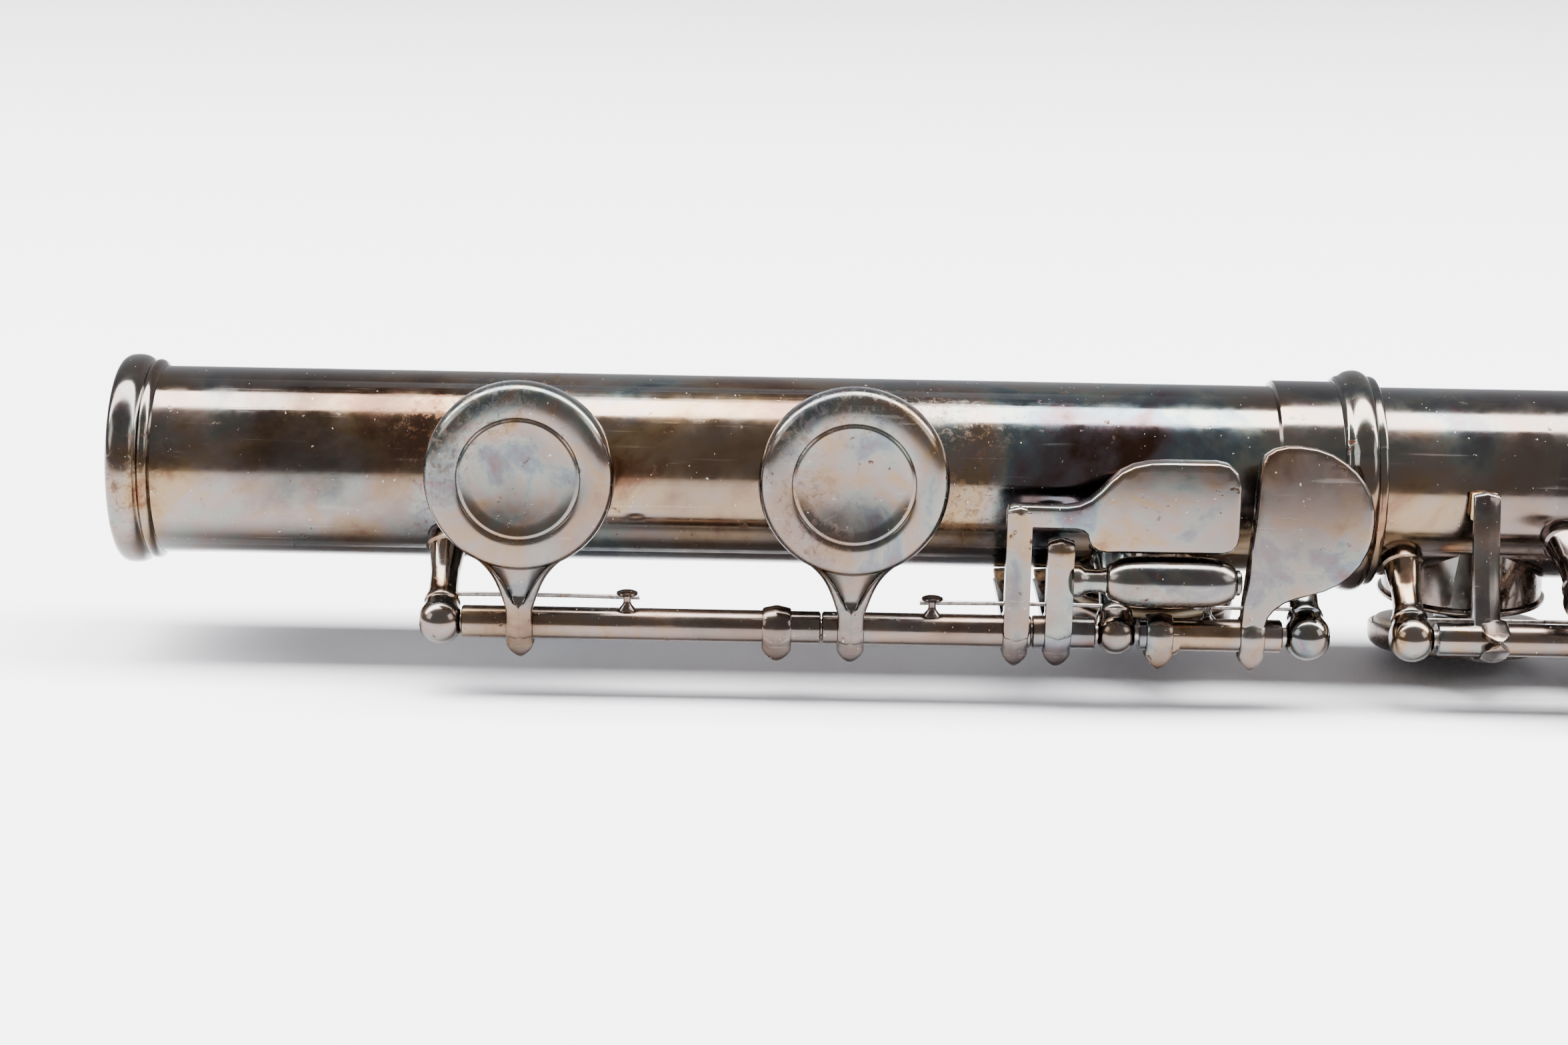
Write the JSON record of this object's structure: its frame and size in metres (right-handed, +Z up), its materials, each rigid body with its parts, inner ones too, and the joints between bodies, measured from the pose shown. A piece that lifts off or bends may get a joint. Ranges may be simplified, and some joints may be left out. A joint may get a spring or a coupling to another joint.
{
  "type": "concert flute",
  "caption": "Metal transverse flute in three joints with lip plate, covered tone holes, sprung key cups on turned posts and rods, and a foot joint with finger plates and roller.",
  "frame": {"origin": "centre of the bore at the foot joint's open end", "axes": "+X along the bore towards the head, +Z up as the flute lies on its keys, -Y towards the rods"},
  "size_m": [0.6642, 0.0431, 0.0465],
  "materials": {
    "silver": "tarnished silver plate over nickel silver",
    "steel": "ground steel rod",
    "spring": "drawn needle wire",
    "pad": "felt pad under skin, cork bumper",
    "cork": "natural cork"
  },
  "bodies": {
    "body": {"body_tube": "silver", "barrel": "silver", "body_posts": "silver", "body_steel": "steel", "body_springs": "spring"},
    "foot": {"foot_tube": "silver", "foot_rings": "silver", "foot_posts": "silver", "foot_steel": "steel", "foot_springs": "spring"},
    "low_c": {"low_c_key": "silver", "low_c_steel": "steel", "low_c_lever": "silver", "low_c_pad": "pad"},
    "roller": {"roller": "silver"},
    "c_sharp": {"c_sharp_key": "silver", "c_sharp_plate": "silver", "c_sharp_pad": "pad"},
    "d_sharp": {"d_sharp_key": "silver", "d_sharp_pad": "pad"},
    "d": {"d_key": "silver", "d_pad": "pad"},
    "e": {"e_key": "silver", "e_pad": "pad"},
    "f": {"f_key": "silver", "f_pad": "pad"},
    "f_sharp": {"f_sharp_key": "silver", "f_sharp_pad": "pad"},
    "g": {"g_key": "silver", "g_pads": "pad"},
    "a": {"a_key": "silver", "a_pad": "pad"},
    "b_flat": {"b_flat_key": "silver", "b_flat_pad": "pad"},
    "c": {"c_key": "silver", "c_pad": "pad"},
    "g_sharp": {"g_sharp_key": "silver", "g_sharp_pad": "pad"},
    "thumb": {"thumb_key": "silver", "thumb_pad": "pad"},
    "thumb_b_flat": {"thumb_b_flat_key": "silver"},
    "d_trill": {"d_trill_key": "silver", "d_trill_touch": "silver", "d_trill_pad": "pad"},
    "d_sharp_trill": {"d_sharp_trill_key": "silver", "d_sharp_trill_steel": "steel", "d_sharp_trill_touch": "silver", "d_sharp_trill_pad": "pad"},
    "head": {"head_tube": "silver", "lip_plate": "silver", "stopper_cork": "cork", "stopper_screw": "silver"},
    "crown": {"crown": "silver"}
  },
  "joints": [
    {"name": "foot_turn", "type": "hinge", "parent": "body", "child": "foot", "pos_m": [0.127, 0, 0], "axis": [1, 0, 0], "range_deg": [-30, 90]},
    {"name": "low_c_key_hinge", "type": "hinge", "parent": "foot", "child": "low_c", "pos_m": [0.0433, -0.0156, -0.0126], "axis": [-1, 0, 0], "range_deg": [0, 9], "stiffness_Nm_per_rad": 0.012, "springref_deg": -57.3},
    {"name": "roller_spin", "type": "hinge", "parent": "low_c", "child": "roller", "pos_m": [0.1094, -0.01705, -0.0066], "axis": [1, 0, 0], "continuous": true},
    {"name": "c_sharp_key_hinge", "type": "hinge", "parent": "foot", "child": "c_sharp", "pos_m": [0.0771, -0.0156, -0.0126], "axis": [-1, 0, 0], "range_deg": [0, 9], "stiffness_Nm_per_rad": 0.012, "springref_deg": -57.3},
    {"name": "d_sharp_key_hinge", "type": "hinge", "parent": "foot", "child": "d_sharp", "pos_m": [0.113, -0.0156, -0.0126], "axis": [-1, 0, 0], "range_deg": [0, 9], "stiffness_Nm_per_rad": 0.012, "springref_deg": -57.3},
    {"name": "d_key_hinge", "type": "hinge", "parent": "body", "child": "d", "pos_m": [0.1429, -0.0156, -0.0126], "axis": [1, 0, 0], "range_deg": [0, 9], "stiffness_Nm_per_rad": 0.012, "springref_deg": -57.3},
    {"name": "e_key_hinge", "type": "hinge", "parent": "body", "child": "e", "pos_m": [0.1717, -0.0156, -0.0126], "axis": [1, 0, 0], "range_deg": [0, 9], "stiffness_Nm_per_rad": 0.012, "springref_deg": -57.3},
    {"name": "f_key_hinge", "type": "hinge", "parent": "body", "child": "f", "pos_m": [0.1988, -0.0156, -0.0126], "axis": [1, 0, 0], "range_deg": [0, 9], "stiffness_Nm_per_rad": 0.012, "springref_deg": -57.3},
    {"name": "f_sharp_key_hinge", "type": "hinge", "parent": "body", "child": "f_sharp", "pos_m": [0.2245, -0.0156, -0.0126], "axis": [1, 0, 0], "range_deg": [0, 9], "stiffness_Nm_per_rad": 0.012, "springref_deg": -57.3},
    {"name": "g_key_hinge", "type": "hinge", "parent": "body", "child": "g", "pos_m": [0.26, -0.0156, -0.0126], "axis": [1, 0, 0], "range_deg": [0, 9], "stiffness_Nm_per_rad": 0.012, "springref_deg": -57.3},
    {"name": "a_key_hinge", "type": "hinge", "parent": "body", "child": "a", "pos_m": [0.2932, -0.0156, -0.0126], "axis": [1, 0, 0], "range_deg": [0, 9], "stiffness_Nm_per_rad": 0.012, "springref_deg": -57.3},
    {"name": "b_flat_key_hinge", "type": "hinge", "parent": "body", "child": "b_flat", "pos_m": [0.3136, -0.0156, -0.0126], "axis": [1, 0, 0], "range_deg": [0, 9], "stiffness_Nm_per_rad": 0.012, "springref_deg": -57.3},
    {"name": "c_key_hinge", "type": "hinge", "parent": "body", "child": "c", "pos_m": [0.342, -0.0156, -0.0126], "axis": [1, 0, 0], "range_deg": [0, 9], "stiffness_Nm_per_rad": 0.012, "springref_deg": -57.3},
    {"name": "g_sharp_key_hinge", "type": "hinge", "parent": "body", "child": "g_sharp", "pos_m": [0.26, 0.01771, -0.00941], "axis": [-1, 0, 0], "range_deg": [0, 9], "stiffness_Nm_per_rad": 0.012, "springref_deg": -57.3},
    {"name": "thumb_key_hinge", "type": "hinge", "parent": "body", "child": "thumb", "pos_m": [0.338, -0.01981, 0.00314], "axis": [-1, 0, 0], "range_deg": [0, 9], "stiffness_Nm_per_rad": 0.012, "springref_deg": -57.3},
    {"name": "thumb_b_flat_hinge", "type": "hinge", "parent": "body", "child": "thumb_b_flat", "pos_m": [0.326, -0.01981, 0.00314], "axis": [-1, 0, 0], "range_deg": [0, 9], "stiffness_Nm_per_rad": 0.012, "springref_deg": -57.3},
    {"name": "d_trill_hinge", "type": "hinge", "parent": "body", "child": "d_trill", "pos_m": [0.27, -0.01945, -0.00708], "axis": [1, 0, 0], "range_deg": [0, 7], "stiffness_Nm_per_rad": 0.012, "springref_deg": -57.3},
    {"name": "d_sharp_trill_hinge", "type": "hinge", "parent": "body", "child": "d_sharp_trill", "pos_m": [0.27, -0.01945, -0.00708], "axis": [1, 0, 0], "range_deg": [0, 7], "stiffness_Nm_per_rad": 0.012, "springref_deg": -57.3},
    {"name": "tuning_slide", "type": "slide", "parent": "body", "child": "head", "axis": [1, 0, 0], "range_m": [0, 0.012]},
    {"name": "crown_turn", "type": "hinge", "parent": "head", "child": "crown", "pos_m": [0.655, 0, 0], "axis": [1, 0, 0], "continuous": true}
  ],
  "couplings": [
    {"joint": "f_sharp_key_hinge", "follows": "f_key_hinge", "ratio": 1},
    {"joint": "b_flat_key_hinge", "follows": "a_key_hinge", "ratio": 1}
  ]
}
